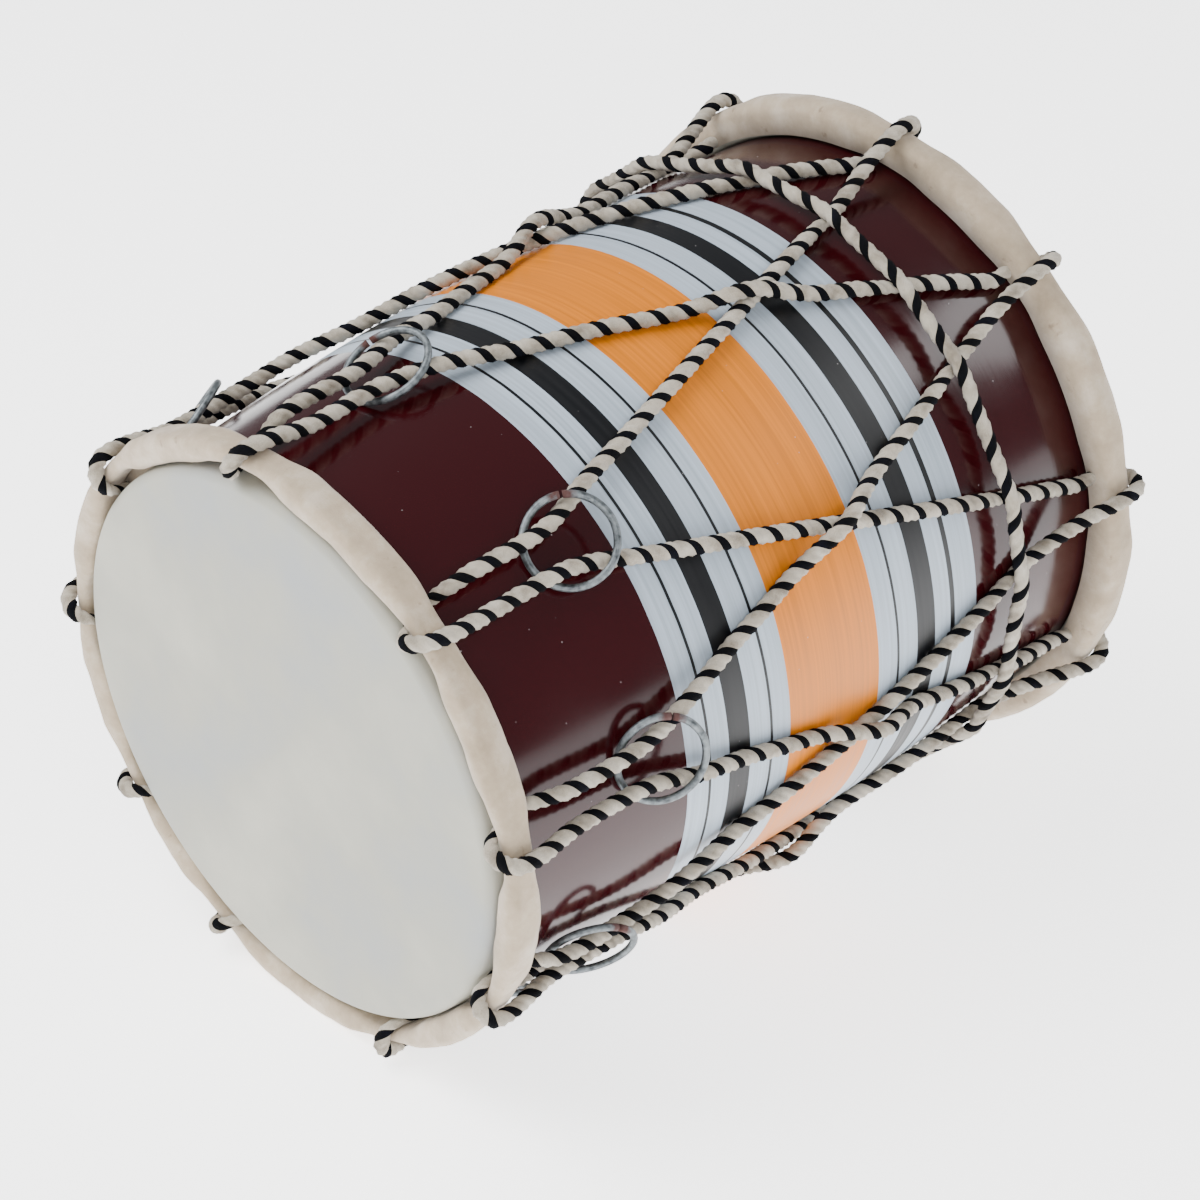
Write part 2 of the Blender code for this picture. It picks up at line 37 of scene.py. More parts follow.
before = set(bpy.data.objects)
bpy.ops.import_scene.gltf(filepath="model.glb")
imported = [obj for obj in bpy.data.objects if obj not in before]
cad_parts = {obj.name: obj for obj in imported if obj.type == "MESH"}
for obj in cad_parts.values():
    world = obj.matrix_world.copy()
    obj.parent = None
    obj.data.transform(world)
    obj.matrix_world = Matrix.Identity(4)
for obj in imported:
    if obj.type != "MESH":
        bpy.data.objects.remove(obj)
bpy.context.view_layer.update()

# Place of the drum: its axis lies in the XZ plane, from the centre of the treble face
FACE_CENTRE = Vector((-0.157677, 0.001071, 0.121161))
TILT = math.radians(2.856028)

# Barrel
TOTAL = 0.3153
FACE_TO_RIM = 0.0013
SHELL_LENGTH = TOTAL - 2 * FACE_TO_RIM
BELLY_RADIUS = 0.1236
BELLY_STATION = 0.2132
TREBLE_RIM_RADIUS = 0.1083
BASS_RIM_RADIUS = 0.1210
WALL = 0.0090
BEARING_EDGE_RADIUS = 0.0025
EDGE_TURNS = (90, 67, 45, 22)
BARE_DEPTH = 1.5 * BEARING_EDGE_RADIUS
BARREL_ROWS = 60
INSIDE_ROWS = 12
BARREL_SIDES = 240

# Painted bands and lines, as stations from the treble face
WHITE_BAND = (0.0870, 0.2360)
BLACK_BANDS = ((0.1065, 0.1160), (0.2020, 0.2125))
ORANGE_BAND = (0.1355, 0.1815)
FINE_LINES = ((0.0975, 0.0012), (0.1270, 0.0012), (0.1920, 0.0013), (0.2225, 0.0024))

# Skins and hoops
GAP = 0.0003
ROPE_GAP = 0.0005
SKIN = 0.0010
WRAP_SLACK = 0.0028
WRAP_SWELL = 0.0014
HOOP_WIDTH = 0.0092
HOOP_STATION = 0.0070
TREBLE_HOOP_DEPTH = 0.0032
BASS_HOOP_DEPTH = 0.0052
HEAD_SHARES = (0.0, 0.2, 0.4, 0.6, 0.8, 0.93)
RIM_BEND_TURNS = (0, 15, 30, 45, 60, 75, 90)
WRAP_FOOT = (-0.0006, 0.0012)
WRAP_TURNS = (180, 160, 140, 120, 100, 90, 89, 75, 60, 45, 30, 15, 0, -15, -30, -45, -60, -75, -89, -91, -110)
SKIN_SIDES = 288
FLOOR_LEVEL = 0.0001
HEAD_EDGE = 0.0022

# Pinches of the wrap, in degrees: how far a rope presses beside itself over the hoop and under it,
# and how soon the wrap is loose again
PINCH_OVER = 3.4
PINCH_UNDER = 1.8
PINCH_FADE = 8.0

# Ruffle of the wrap: lumps round the drum, fineness along the skin, the step of a row along it,
# how much finer the second layer of noise is, where the bass wrap's noise starts, and the deepest dent
RUFFLE_ROUND = 6.0
RUFFLE_ALONG = 260
RUFFLE_ROW = 0.0012
RUFFLE_FINER = 2.7
RUFFLE_BASS = 3.0
RUFFLE_DENT = -0.0002

# Lacing
ROPE_RADIUS = 0.0030
TREBLE_NIP_RADIUS = 0.0018
BASS_NIP_RADIUS = 0.0024
WAIST_NIP_RADIUS = 0.0025
TREBLE_LOOPS = (-50, -5, 41.5, 80.5, 118, 156, 203, 234, 272)
BASS_LOOPS = (-35, 7, 40, 79.5, 115, 157, 200, 240, 282)
TREBLE_SPREAD = 3.5
BASS_SPREAD = 1.6
LOOPS = len(TREBLE_LOOPS)
GATHER_ROUTE = ((0.031, 3.5), (0.060, 3.5), (0.072, 4.5), (0.088, 7.0))
GATHER_START = (0.0048, 0.0022)
GATHER_START_RADIUS = 0.0026
GATHER_SLOPE = 0.05
REST_START = 0.112
CROSSING_REACH = 0.026
CROSSING_CLEARANCE = 0.0007
CROSSING_HALVINGS = 40
HUMP_SHARES = (-1, -0.55, -0.22, 0.22, 0.55, 1)
STRAND_STEP = 0.030
STRAND_END = 0.020
UNDERSIDE = 0.5
FLOOR_CLEARANCE = 0.0002
ENDS_LOOP = 6

# A rope through a loop: turns round the hoop's section with shares of the loop's spread, from over the
# hoop to the groove, then its shares of the spread in the groove and where it comes out
OVER_TURN = 102
FRONT_ROUTE = ((70, 0.85), (30, 0.6), (-5, 0.3))
ENTRY_TURN = -45
NIP_SPREADS = (0.35, 0.85)
NIP_EXIT = (0.0044, 0.0009)
NIP_EXIT_SWELL = 1.05

# A strand past the waist rope: where it is at full thickness again, then, from the bass face, its way
# into the groove or over the hoop
BASS_FOOT = 0.012
BASS_FOOT_RISE = 0.0004
LOW_ROUTE = (0.0353, 0.0190)
HIGH_END = 0.030
HIGH_RISE = 0.0002

# Lay of the ropes: strands, points and depth of the section, and steps of one turn of the lay
LOBES = 3
LOBE_POINTS = 4
LOBE_DEPTH = 0.17
STRAND_FULLNESS = 1.08
LACING_STEPS = 14
WAIST_STEPS = 20

# Waist rope, from the first strand past the angle of its start to the last one before it
WAIST_RADIUS = 0.0025
WAIST_FULLNESS = 1.22
WAIST_STATION = 0.2530
WAIST_FOOT = 0.014
WAIST_START = 258.0

# Tuning rings
RING_RADIUS = 0.01625
WIRE_RADIUS = 0.0014
RING_SPLIT = 4.0
RING_SPLIT_AT = 68.0
RING_LEAN = math.radians(25.982)
RING_RISE = 0.0006
RING_SHELL_CLEARANCE = 0.0004
RING_STATIONS = (0.046, 0.072, 0.070, 0.071, 0.046, 0.048, 0.050, 0.066, 0.060)
RING_FURTHEST = 0.072
WIRE_SIDES = 14
RING_STEPS = 72
RING_WOBBLE = 0.006
RUST_REACH = 34.0

# Studio: floor, room and softboxes (name, place, what they point at, size and power)
FLOOR_HALF = 6.0
FLOOR_GLOW = 2.4
ROOM_COLOUR = (0.93, 0.96, 1.0)
ROOM_STRENGTH = 0.35
SOFTBOXES = (
    ("key_softbox", (-0.75, 0.65, 1.5), (0, 0, 0.1), 1.3, 46.0),
    ("fill_softbox", (-0.9, -1.3, 1.1), (0, 0, 0.12), 0.9, 20.0),
    ("side_softbox", (1.3, -0.6, 0.9), (0, 0, 0.12), 0.8, 12.0),
)

# Camera: where the treble face's centre lies in the 1200 pixel photograph, and how far away
PHOTO_SIZE = 1200
FACE_PIXEL = (280.1, 751.0)
FACE_DEPTH = 1.2151
FOCAL_PIXELS = 3400
CAMERA_AZIMUTH = -44.32
CAMERA_ELEVATION = 32.6
SENSOR = 36.0

# Least share to which a mitre is closed, and how near two vertices are one
MITRE_LEAST = 0.7
MERGE_DISTANCE = 1e-6


def srgb(code):
    """Linear colour of a six-figure sRGB hex code."""
    parts = [int(code[i : i + 2], 16) / 255 for i in (0, 2, 4)]
    return tuple(p / 12.92 if p <= 0.04045 else ((p + 0.055) / 1.055) ** 2.4 for p in parts)


def colour_property(name, description, code):
    return bpy.props.FloatVectorProperty(
        name=name, description=description, subtype="COLOR", size=3, min=0.0, max=1.0, default=srgb(code)
    )


def length_property(name, description, value):
    return bpy.props.FloatProperty(name=name, description=description, default=value, min=0.0, unit="LENGTH")


class DholakColours(bpy.types.PropertyGroup):
    """Colours of the finishes."""

    lacquer: colour_property("Lacquer", "Maroon lacquer over the hardwood", "2C0509")
    white: colour_property("White paint", "Bluish white of the wide band", "A4B0BC")
    black: colour_property("Black paint", "Black of the bands and lines", "05060A")
    orange: colour_property("Orange paint", "Orange of the middle band", "CE7400")
    head: colour_property("Head", "Rawhide of the playing head", "A09F94")
    wrap: colour_property("Wrap", "Suede side of the skin round the hoop", "AE9D87")
    rope: colour_property("Rope", "Cream cotton of the rope", "B3A998")
    marker: colour_property("Marker strand", "Navy strand laid into the rope", "020308")
    wire: colour_property("Wire", "Dull galvanised wire", "6E7477")
    rust: colour_property("Rust", "Rust at a ring's split", "4A1C10")
    floor: colour_property("Floor", "Pale studio floor", "FFFFFF")


class DholakSizes(bpy.types.PropertyGroup):
    """Sizes of the surface detail."""

    rope_pitch: length_property("Rope pitch", "Length of one turn of the rope's lay", 0.0112)
    waist_pitch: length_property("Waist rope pitch", "Length of one turn of the waist rope's lay", 0.0150)
    line_waver: length_property("Line waver", "How far the painted edges wander", 0.00035)
    wrap_ruffle: length_property("Wrap ruffle", "How far the wrap's surface wanders", 0.0007)


def colours():
    return bpy.context.scene.dholak_colours


def sizes():
    return bpy.context.scene.dholak_sizes


# Geometry shared with the solids
def shell_radius(x):
    """Outer radius of the shell at a station from the treble face."""
    s = x - FACE_TO_RIM
    if s < BELLY_STATION:
        share = (BELLY_STATION - s) / BELLY_STATION
        return BELLY_RADIUS - (BELLY_RADIUS - TREBLE_RIM_RADIUS) * share**2
    share = (s - BELLY_STATION) / (SHELL_LENGTH - BELLY_STATION)
    return BELLY_RADIUS - (BELLY_RADIUS - BASS_RIM_RADIUS) * share**2


def drum_matrix():
    return Matrix.Translation(FACE_CENTRE) @ Matrix.Rotation(-TILT, 4, "Y")


def local(x, radius, angle):
    """A point of the drum in its own frame: station, radius and angle in degrees from the top."""
    turn = math.radians(angle)
    return Vector((x, -radius * math.sin(turn), radius * math.cos(turn)))


def place(x, radius, angle):
    return drum_matrix() @ local(x, radius, angle)


class Head:
    """Sizes of one end of the drum. u runs from the face towards the middle."""

    def __init__(self, bass):
        self.bass = bass
        self.depth = BASS_HOOP_DEPTH if bass else TREBLE_HOOP_DEPTH
        self.nip = BASS_NIP_RADIUS if bass else TREBLE_NIP_RADIUS
        self.loops = BASS_LOOPS if bass else TREBLE_LOOPS
        self.spread = BASS_SPREAD if bass else TREBLE_SPREAD
        self.bend = self.depth / 2 + GAP + SKIN / 2
        self.half_flat = (HOOP_WIDTH - self.depth) / 2
        widest_u = HOOP_STATION + self.half_flat
        self.collar_top = self.shell(widest_u) + GAP + SKIN
        self.nip_line = self.collar_top + GAP + self.nip
        self.wrap_inside = self.nip_line + self.nip + ROPE_GAP
        self.hoop_line = self.wrap_inside + SKIN + GAP + self.depth / 2
        self.outside = self.hoop_line + self.bend + SKIN / 2

    def station(self, u):
        return TOTAL - u if self.bass else u

    def shell(self, u):
        return shell_radius(self.station(u))

    def around(self, angle, clearance):
        """Point (u, r) round the hoop's section: 0 at the front, 90 outside, 180 at the back."""
        turn = math.radians(angle)
        reach = self.bend + clearance
        middle = HOOP_STATION + self.half_flat * (-1 if abs(angle) < 90 else 1)
        return middle - reach * math.cos(turn), self.hoop_line + reach * math.sin(turn)


TREBLE = Head(False)
BASS = Head(True)


def nip_points(head, angle):
    """Rope through one loop, from over the hoop to where it comes out behind it: (u, r, angle, radius)."""
    clear = SKIN / 2 + ROPE_GAP + ROPE_RADIUS
    spread = head.spread
    front_u = HOOP_STATION - head.half_flat
    back_u = HOOP_STATION + head.half_flat
    points = [(*head.around(OVER_TURN, clear), angle + spread, ROPE_RADIUS)]
    for turn, share in FRONT_ROUTE:
        points.append((*head.around(turn, clear), angle + spread * share, ROPE_RADIUS))
    middle = (ROPE_RADIUS + head.nip) / 2
    points.append((*head.around(ENTRY_TURN, SKIN / 2 + ROPE_GAP + middle), angle, middle))
    for u, share in zip((front_u, back_u), NIP_SPREADS):
        points.append((u, head.nip_line, angle - spread * share, head.nip))
    exit_radius = head.nip * NIP_EXIT_SWELL
    points.append((back_u + NIP_EXIT[0], head.nip_line + NIP_EXIT[1], angle - spread, exit_radius))
    return points


def gather_radius(x):
    """Height of the gathered strands, from the axis."""
    wire = shell_radius(RING_FURTHEST - RING_RADIUS * math.cos(RING_LEAN)) + WIRE_RADIUS
    middle = wire + RING_SHELL_CLEARANCE + RING_RADIUS * math.sin(RING_LEAN) - RING_RISE
    return middle - GATHER_SLOPE * (RING_FURTHEST - x)


def floor_room(x, angle):
    """Room between shell and floor along a radius, or a large number above the axis."""
    down = -math.cos(math.radians(angle)) * math.cos(TILT)
    if down < UNDERSIDE:
        return 1.0
    return (FACE_CENTRE.z + x * math.sin(TILT) - FLOOR_CLEARANCE) / down - shell_radius(x)


def squeezed(x, angle, ropes):
    """Radius of a rope, thinner where a number of them lie between shell and floor."""
    room = floor_room(x, angle)
    return min(ROPE_RADIUS, (room - GAP - (ropes - 1) * CROSSING_CLEARANCE) / (2 * ropes))


def fill_between(marks, most):
    """The marks in order, with points added so that no step is longer than most."""
    marks = sorted(marks)
    filled = marks[:1]
    for here, following in zip(marks, marks[1:]):
        steps = math.ceil((following - here) / most)
        filled += [here + (following - here) * k / steps for k in range(1, steps + 1)]
    return filled


def loop_angle(loops, loop):
    """Angle of a loop, counted on through more than one round."""
    return loops[loop % LOOPS] + 360 * (loop // LOOPS)


def strand_ends(treble_loop, side):
    """Angles at which a strand leaves its ring and reaches the bass hoop."""
    start = loop_angle(TREBLE_LOOPS, treble_loop) + side * GATHER_ROUTE[-1][1]
    end = loop_angle(BASS_LOOPS, treble_loop + side) - side * BASS_SPREAD
    return start, end


def strand_angle(treble_loop, side, x):
    """Angle of a strand at a station, on its even way from its ring to the bass hoop."""
    start, end = strand_ends(treble_loop, side)
    share = (x - GATHER_ROUTE[-1][0]) / (TOTAL - STRAND_END - GATHER_ROUTE[-1][0])
    return start + (end - start) * share


def crossing_station(treble_loop, side):
    """Station where a strand crosses its partner from the neighbouring loop."""
    partner = treble_loop + side
    low, high = GATHER_ROUTE[-1][0], TOTAL - STRAND_END
    for _ in range(CROSSING_HALVINGS):
        middle = (low + high) / 2
        apart = side * (strand_angle(partner, -side, middle) - strand_angle(treble_loop, side, middle))
        low, high = (middle, high) if apart > 0 else (low, middle)
    return low


def lies_on_top(loop, side):
    """The strands of the rope's second round lie over those of its first."""
    index = loop % LOOPS
    return index % 2 == 1 or (side < 0 and index == 0)


def resting_points(treble_loop, side):
    """The part of a strand that lies on the barrel, with its hump at the crossing."""
    crossing = crossing_station(treble_loop, side)
    thin = squeezed(crossing, strand_angle(treble_loop, side, crossing), 2)
    marks = [REST_START, crossing, WAIST_STATION - WAIST_FOOT]
    if lies_on_top(treble_loop, side):
        marks += [crossing + CROSSING_REACH * share for share in HUMP_SHARES]
    points = []
    for x in fill_between(marks, STRAND_STEP):
        angle = strand_angle(treble_loop, side, x)
        lean = min(abs(x - crossing) / CROSSING_REACH, 1.0) * math.pi / 2
        share = math.cos(lean) ** 2
        radius = squeezed(x, angle, 1) * (1 - share) + thin * share
        lift = (2 * thin + CROSSING_CLEARANCE) * share if lies_on_top(treble_loop, side) else 0.0
        points.append((x, shell_radius(x) + GAP + radius + lift, angle, radius))
    return points


def strand_points(treble_loop, side):
    """One strand from the treble hoop to the bass hoop, as (station, r, angle, radius)."""
    points = []
    base = loop_angle(TREBLE_LOOPS, treble_loop)
    if side < 0:
        u, r, _, _ = nip_points(TREBLE, 0)[-1]
        start = (u + GATHER_START[0], r + GATHER_START[1])
        points.append((*start, base - TREBLE_SPREAD, GATHER_START_RADIUS))
    for x, spread in GATHER_ROUTE:
        points.append((x, gather_radius(x), base + side * spread, ROPE_RADIUS))
    points += resting_points(treble_loop, side)
    foot_x = WAIST_STATION + BASS_FOOT
    foot = shell_radius(foot_x) + ROPE_RADIUS + GAP
    waist = shell_radius(WAIST_STATION) + WAIST_NIP_RADIUS + GAP
    rest = [(WAIST_STATION, waist, WAIST_NIP_RADIUS), (foot_x, foot + BASS_FOOT_RISE, ROPE_RADIUS)]
    if side > 0:
        for x in (TOTAL - u for u in LOW_ROUTE):
            rest.append((x, shell_radius(x) + ROPE_RADIUS + GAP, ROPE_RADIUS))
    else:
        x = TOTAL - HIGH_END
        over = nip_points(BASS, 0)[0][1]
        share = (x - foot_x) / (TOTAL - HOOP_STATION - BASS.half_flat - foot_x)
        rest.append((x, foot + (over - foot) * share + HIGH_RISE, ROPE_RADIUS))
    points += [(x, r, strand_angle(treble_loop, side, x), radius) for x, r, radius in rest]
    return points


def lacing_route():
    """The whole rope: bass loop, treble loop and so on, twice round, its ends under the bass hoop."""
    start = nip_points(BASS, BASS_LOOPS[ENDS_LOOP])
    route = [(BASS.station(u), r, angle, radius) for u, r, angle, radius in start[5::-1]]
    for loop in range(ENDS_LOOP + 1, ENDS_LOOP + 2 * LOOPS, 2):
        route += strand_points(loop, -1)[::-1]
        route += nip_points(TREBLE, loop_angle(TREBLE_LOOPS, loop))[::-1]
        route += strand_points(loop, 1)
        through = nip_points(BASS, loop_angle(BASS_LOOPS, loop + 1))[::-1]
        if loop + 1 == ENDS_LOOP + 2 * LOOPS:
            through = through[:2]
        route += [(BASS.station(u), r, angle, radius) for u, r, angle, radius in through]
    return route


def waist_route():
    """Waist rope: over every strand and straight between them, its ends on two strands that are neighbours."""
    height = shell_radius(WAIST_STATION) + GAP + 2 * WAIST_NIP_RADIUS + GAP + WAIST_RADIUS
    crossings = []
    for loop in range(LOOPS):
        for side in (-1, 1):
            crossings.append(strand_angle(loop, side, WAIST_STATION) % 360)
    crossings.sort()
    angles = [a for a in crossings if a > WAIST_START] + [a + 360 for a in crossings if a < WAIST_START]
    route = []
    for here, following in zip(angles, angles[1:]):
        half = (following - here) / 2
        route.append((WAIST_STATION, height + GAP, here, WAIST_RADIUS))
        for share in (1 / 3, 2 / 3):
            lean = math.radians(half * (2 * share - 1))
            chord = height * math.cos(math.radians(half)) / math.cos(lean)
            route.append((WAIST_STATION, chord + GAP, here + 2 * half * share, WAIST_RADIUS))
    route.append((WAIST_STATION, height + GAP, angles[-1], WAIST_RADIUS))
    return route


def smooth_line(points, step):
    """Points about a step apart on a smooth curve through (position, radius) pairs."""
    line = []
    last = len(points) - 1
    for i in range(last):
        before, here = points[max(i - 1, 0)], points[i]
        after, beyond = points[i + 1], points[min(i + 2, last)]
        chord = (after[0] - here[0]).length
        count = max(1, round(chord / step))
        leave = (after[0] - before[0]).normalized() * chord
        arrive = (beyond[0] - here[0]).normalized() * chord
        for k in range(count):
            t = k / count
            a, b = 2 * t**3 - 3 * t**2 + 1, t**3 - 2 * t**2 + t
            c, d = 3 * t**2 - 2 * t**3, t**3 - t**2
            position = here[0] * a + leave * b + after[0] * c + arrive * d
            line.append((position, here[1] + (after[1] - here[1]) * t))
    line.append(points[-1])
    return line


# Nodes
def add_node(tree, kind, inputs=None, **settings):
    """Adds a node. Inputs maps a socket's name or number to a value or to an output to link."""
    made = tree.nodes.new(kind)
    for name, value in settings.items():
        setattr(made, name, value)
    for key, value in (inputs or {}).items():
        if isinstance(value, bpy.types.NodeSocket):
            tree.links.new(value, made.inputs[key])
        else:
            made.inputs[key].default_value = value
    return made


def add_ramp(tree, factor, stops, interpolation="LINEAR"):
    """A colour ramp of (position, colour) stops."""
    made = add_node(tree, "ShaderNodeValToRGB", {"Fac": factor})
    made.color_ramp.interpolation = interpolation
    elements = made.color_ramp.elements
    while len(elements) > 1:
        elements.remove(elements[-1])
    elements[0].position = stops[0][0]
    elements[0].color = (*stops[0][1], 1.0)
    for position, colour in stops[1:]:
        elements.new(position).color = (*colour, 1.0)
    return made.outputs["Color"]


def grey(value):
    return (value, value, value)


def mix_colours(tree, factor, first, second, blend="MIX"):
    """Mixes two colours, each a value or an output, by a factor of either kind."""
    made = add_node(tree, "ShaderNodeMix", data_type="RGBA", blend_type=blend)
    for key, value in ((0, factor), (6, first), (7, second)):
        if isinstance(value, bpy.types.NodeSocket):
            tree.links.new(value, made.inputs[key])
        elif key == 0:
            made.inputs[key].default_value = value
        else:
            made.inputs[key].default_value = (*value, 1.0)
    return made.outputs[2]


def new_material(name):
    material = bpy.data.materials.new(name)
    material.use_nodes = True
    return material, material.node_tree, material.node_tree.nodes["Principled BSDF"]


def drum_coordinates(tree):
    """Object coordinates turned into the drum's own frame: X along the axis from the treble face."""
    texture = add_node(tree, "ShaderNodeTexCoord")
    return add_node(
        tree,
        "ShaderNodeMapping",
        {"Vector": texture.outputs["Object"], "Location": FACE_CENTRE, "Rotation": (0, -TILT, 0)},
        vector_type="TEXTURE",
    ).outputs["Vector"]


def scaled(tree, vector, scale):
    return add_node(tree, "ShaderNodeMapping", {"Vector": vector, "Scale": scale}).outputs["Vector"]


def noise_value(tree, vector, scale, detail=3.0, roughness=0.55):
    """Noise whose patches are about 1/scale metres across: 500 gives 2 mm."""
    made = add_node(
        tree,
        "ShaderNodeTexNoise",
        {"Vector": vector, "Scale": scale, "Detail": detail, "Roughness": roughness},
    )
    return made.outputs["Fac"]


def add_bump(tree, shader, height, strength, distance):
    bump = add_node(
        tree, "ShaderNodeBump", {"Height": height, "Strength": strength, "Distance": distance}
    )
    tree.links.new(bump.outputs["Normal"], shader.inputs["Normal"])


def lacquered_barrel():
    """Nitrocellulose lacquer sprayed over turned hardwood and polished.

    It gives a deep, wet gloss. The paint is lined by hand while the barrel turns, so its edges waver.
    """
    palette = colours()
    material, tree, shader = new_material("polished_lacquer_on_hardwood")
    place_vector = drum_coordinates(tree)
    station = add_node(tree, "ShaderNodeSeparateXYZ", {"Vector": place_vector}).outputs["X"]
    waver = noise_value(tree, scaled(tree, place_vector, (1.0, 30.0, 30.0)), 1.0, 2.0)
    reach = sizes().line_waver
    offset = add_node(tree, "ShaderNodeMath", {0: waver, 1: 2 * reach, 2: -reach}, operation="MULTIPLY_ADD")
    moved = add_node(tree, "ShaderNodeMath", {0: station, 1: offset.outputs[0]}, operation="ADD")
    share = add_node(tree, "ShaderNodeMath", {0: moved.outputs[0], 1: TOTAL}, operation="DIVIDE").outputs[0]
    lacquer, white = tuple(palette.lacquer), tuple(palette.white)
    black, orange = tuple(palette.black), tuple(palette.orange)
    edges = [(WHITE_BAND[0], white), (WHITE_BAND[1], lacquer)]
    edges += [(ORANGE_BAND[0], orange), (ORANGE_BAND[1], white)]
    for start, end in BLACK_BANDS:
        edges += [(start, black), (end, white)]
    for middle, width in FINE_LINES:
        edges += [(middle - width / 2, black), (middle + width / 2, white)]
    stops = [(0.0, lacquer)] + sorted((x / TOTAL, colour) for x, colour in edges)
    base = add_ramp(tree, share, stops, "CONSTANT")
    paint = [(0.0, grey(0.0)), (WHITE_BAND[0] / TOTAL, grey(1.0)), (WHITE_BAND[1] / TOTAL, grey(0.0))]
    painted = add_ramp(tree, share, paint, "CONSTANT")
    # Brush streaks run round the barrel, a millimetre or two wide and some 100 mm long
    streaks = noise_value(tree, scaled(tree, place_vector, (700.0, 9.0, 9.0)), 1.0, 4.0)
    streak_tone = add_ramp(tree, streaks, [(0.3, grey(0.82)), (0.7, grey(1.12))])
    base = mix_colours(tree, painted, base, mix_colours(tree, 1.0, base, streak_tone, "MULTIPLY"))
    # Dust and chips up to 0.7 mm across, in patches of about 20 mm
    specks = add_node(
        tree, "ShaderNodeTexVoronoi", {"Vector": place_vector, "Scale": 160.0, "Randomness": 1.0}
    ).outputs["Distance"]
    scatter = noise_value(tree, place_vector, 45.0, 2.0)
    dust = add_ramp(tree, specks, [(0.0, grey(1.0)), (0.035, grey(0.7)), (0.055, grey(0.0))])
    patch = add_ramp(tree, scatter, [(0.48, grey(0.0)), (0.62, grey(0.8))])
    dust = mix_colours(tree, 1.0, dust, patch, "MULTIPLY")
    base = mix_colours(tree, dust, base, srgb("A9A4A6"))
    tree.links.new(base, shader.inputs["Base Color"])
    # Handling has hazed the polish in patches of about 50 mm
    haze = noise_value(tree, place_vector, 18.0, 4.0)
    gloss = add_ramp(tree, haze, [(0.3, grey(0.09)), (0.75, grey(0.22))])
    paint_gloss = add_ramp(tree, streaks, [(0.3, grey(0.34)), (0.7, grey(0.48))])
    rough = mix_colours(tree, painted, gloss, paint_gloss)
    rough = mix_colours(tree, dust, rough, grey(0.8))
    tree.links.new(rough, shader.inputs["Roughness"])
    shader.inputs["IOR"].default_value = 1.50
    shader.inputs["Specular IOR Level"].default_value = 0.42
    add_bump(tree, shader, mix_colours(tree, 0.5, streaks, dust), 0.10, 0.0004)
    return material


def bare_hardwood():
    """Turned mango wood inside the barrel, left from the gouge: open, matt grain."""
    material, tree, shader = new_material("turned_bare_hardwood")
    # Grain 6 mm wide and 80 mm long, along the barrel
    grain = noise_value(tree, scaled(tree, drum_coordinates(tree), (12.0, 160.0, 160.0)), 1.0, 6.0)
    base = add_ramp(tree, grain, [(0.3, srgb("553722")), (0.7, srgb("8A6540"))])
    tree.links.new(base, shader.inputs["Base Color"])
    shader.inputs["Roughness"].default_value = 0.75
    add_bump(tree, shader, grain, 0.3, 0.0006)
    return material


def rawhide_head():
    """Limed goatskin, scraped and stretched dry: smooth, waxy and faintly mottled."""
    material, tree, shader = new_material("stretched_rawhide")
    vector = drum_coordinates(tree)
    # Clouds of about 60 mm, spots 13 mm apart and a surface of about a millimetre
    cloud = noise_value(tree, vector, 16.0, 5.0)
    tone = tuple(colours().head)
    base = add_ramp(tree, cloud, [(0.25, srgb("93979A")), (0.5, tone), (0.8, srgb("B2B0A3"))])
    pores = add_node(tree, "ShaderNodeTexVoronoi", {"Vector": vector, "Scale": 75.0, "Randomness": 1.0})
    spot = add_ramp(tree, pores.outputs["Distance"], [(0.0, grey(1.0)), (0.03, grey(0.0))])
    base = mix_colours(tree, mix_colours(tree, 1.0, spot, grey(0.55), "MULTIPLY"), base, srgb("7C776C"))
    tree.links.new(base, shader.inputs["Base Color"])
    fine = noise_value(tree, vector, 900.0, 3.0)
    shader.inputs["Roughness"].default_value = 0.62
    shader.inputs["Specular IOR Level"].default_value = 0.35
    shader.inputs["Subsurface Weight"].default_value = 0.08
    shader.inputs["Subsurface Radius"].default_value = (0.004, 0.003, 0.002)
    add_bump(tree, shader, fine, 0.08, 0.0003)
    return material


def suede_wrap():
    """The same goatskin, flesh side out where it is lapped round the hoop: a soft nap, creased and soiled."""
    material, tree, shader = new_material("lapped_suede_goatskin")
    vector = drum_coordinates(tree)
    # Clouds of about 17 mm, dirt of 5 mm, creases of 7 mm and a nap drawn as coarse as shows, 0.7 mm
    cloud = noise_value(tree, vector, 60.0, 6.0, 0.65)
    tone = tuple(colours().wrap)
    base = add_ramp(tree, cloud, [(0.25, srgb("968670")), (0.5, tone), (0.78, srgb("C9BDAC"))])
    dirt = noise_value(tree, vector, 190.0, 3.0)
    dirt = add_ramp(tree, dirt, [(0.66, grey(0.0)), (0.76, grey(0.55))])
    base = mix_colours(tree, dirt, base, srgb("6E5A47"))
    tree.links.new(base, shader.inputs["Base Color"])
    nap = noise_value(tree, vector, 1500.0, 4.0, 0.7)
    crease = noise_value(tree, vector, 140.0, 4.0)
    shader.inputs["Roughness"].default_value = 0.9
    shader.inputs["Specular IOR Level"].default_value = 0.2
    shader.inputs["Sheen Weight"].default_value = 0.25
    add_bump(tree, shader, mix_colours(tree, 0.6, nap, crease), 0.55, 0.0006)
    return material


